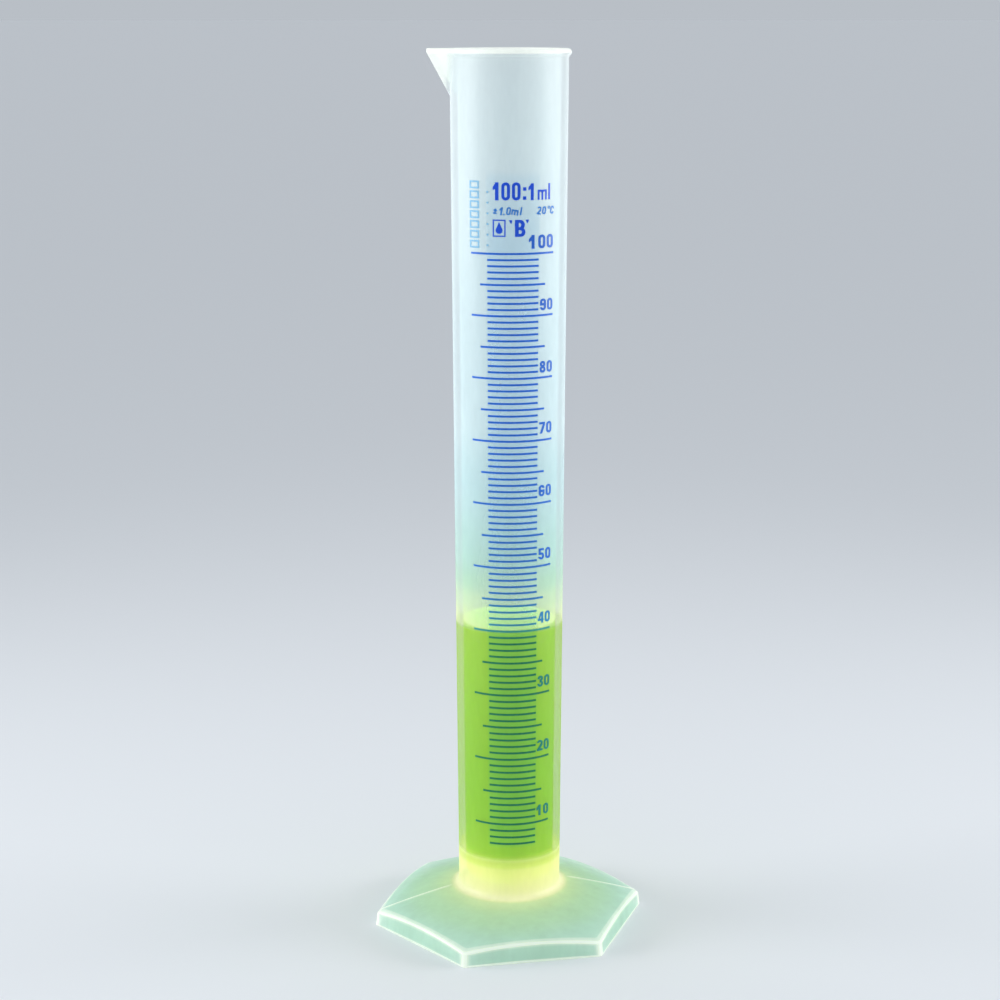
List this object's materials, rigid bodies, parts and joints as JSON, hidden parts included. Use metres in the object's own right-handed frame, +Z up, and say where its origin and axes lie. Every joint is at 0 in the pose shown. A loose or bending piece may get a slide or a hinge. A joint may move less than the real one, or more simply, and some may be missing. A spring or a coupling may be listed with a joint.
{
  "type": "graduated cylinder",
  "caption": "Tall translucent plastic measuring cylinder with a hexagonal foot, a pouring spout, a printed volume scale and a green liquid filled to one of its lines.",
  "frame": {"origin": "centre of the foot's underside, on the surface that the cylinder stands on", "axes": "+Z up along the tube's axis, the pouring spout along -X, the printed scale facing -Y"},
  "size_m": [0.078, 0.0726, 0.25],
  "materials": {
    "translucent_polypropylene": "satin",
    "green_liquid": "gloss",
    "blue_ink": "satin",
    "pale_blue_ink": "satin"
  },
  "bodies": {
    "root": {"moulded_cylinder": "translucent_polypropylene", "liquid_fill": "green_liquid", "lines_10ml": "blue_ink", "lines_5ml": "blue_ink", "lines_1ml": "blue_ink", "numeral_10": "blue_ink", "numeral_20": "blue_ink", "numeral_30": "blue_ink", "numeral_40": "blue_ink", "numeral_50": "blue_ink", "numeral_60": "blue_ink", "numeral_70": "blue_ink", "numeral_80": "blue_ink", "numeral_90": "blue_ink", "numeral_100": "blue_ink", "capacity_legend": "blue_ink", "tolerance_legend": "blue_ink", "class_letter": "blue_ink", "drop_mark": "blue_ink", "maker_panel": "pale_blue_ink"}
  },
  "joints": []
}
